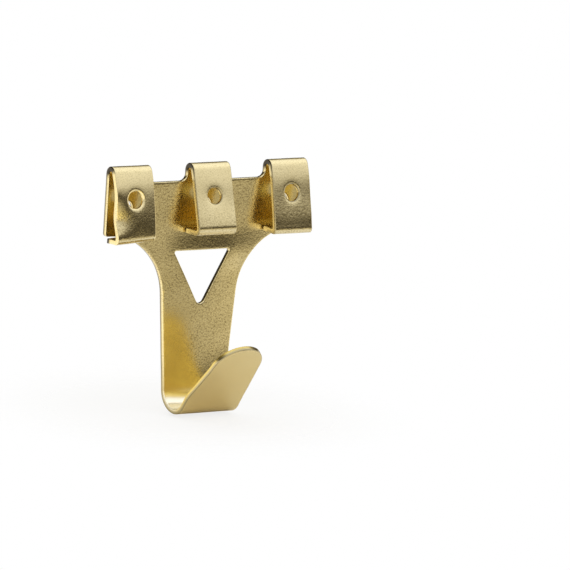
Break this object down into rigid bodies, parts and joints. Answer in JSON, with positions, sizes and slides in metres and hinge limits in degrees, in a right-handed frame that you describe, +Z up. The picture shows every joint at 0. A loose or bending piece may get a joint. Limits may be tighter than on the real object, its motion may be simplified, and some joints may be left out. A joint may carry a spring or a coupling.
{
  "type": "picture hook",
  "caption": "Stamped and folded brass-plated sheet picture hook with folded nail tabs, a three-cornered window and an upturned lip for a picture's wire or ring.",
  "frame": {"origin": "on the back face that lies on the wall, on the middle line, level with the lower edge of the nail plate", "axes": "+X to the hook's right seen from the front, +Y into the wall, +Z up"},
  "size_m": [0.0338, 0.0144, 0.037],
  "materials": {
    "brass_plate": "bright brass electroplate over stamped steel, lightly orange-peeled"
  },
  "bodies": {
    "root": {"picture_hook": "brass_plate"}
  },
  "joints": []
}
